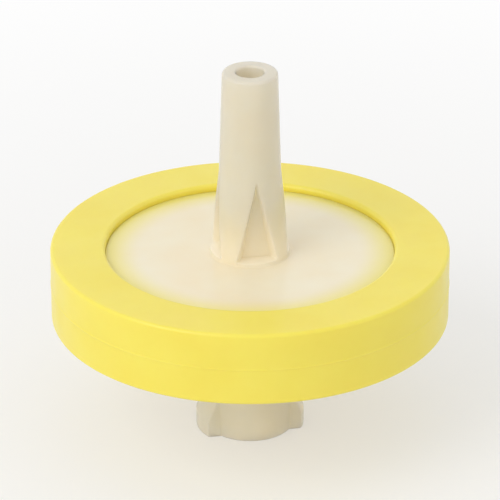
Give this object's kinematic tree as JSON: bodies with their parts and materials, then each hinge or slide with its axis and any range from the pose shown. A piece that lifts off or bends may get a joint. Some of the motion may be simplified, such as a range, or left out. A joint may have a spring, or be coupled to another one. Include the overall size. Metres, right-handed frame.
{
  "type": "syringe filter",
  "caption": "Round disposable syringe filter: a membrane clamped in a milky disc body with a yellow over-moulded rim, a female luer-lock inlet and a male luer slip outlet.",
  "frame": {"origin": "centre of the inlet end face, on which the filter stands", "axes": "+Z along the filter's axis from the inlet to the outlet tip; +X through one of the two inlet lock lugs"},
  "size_m": [0.0286, 0.0286, 0.0277],
  "materials": {
    "housing": "milky translucent natural polypropylene, smooth moulded, softly glossy",
    "membrane": "white microporous film, dead matt",
    "ring": "lemon yellow polypropylene, satin-gloss moulded surface"
  },
  "bodies": {
    "root": {"inlet_housing": "housing", "outlet_housing": "housing", "membrane": "membrane", "outer_ring": "ring"}
  },
  "joints": []
}
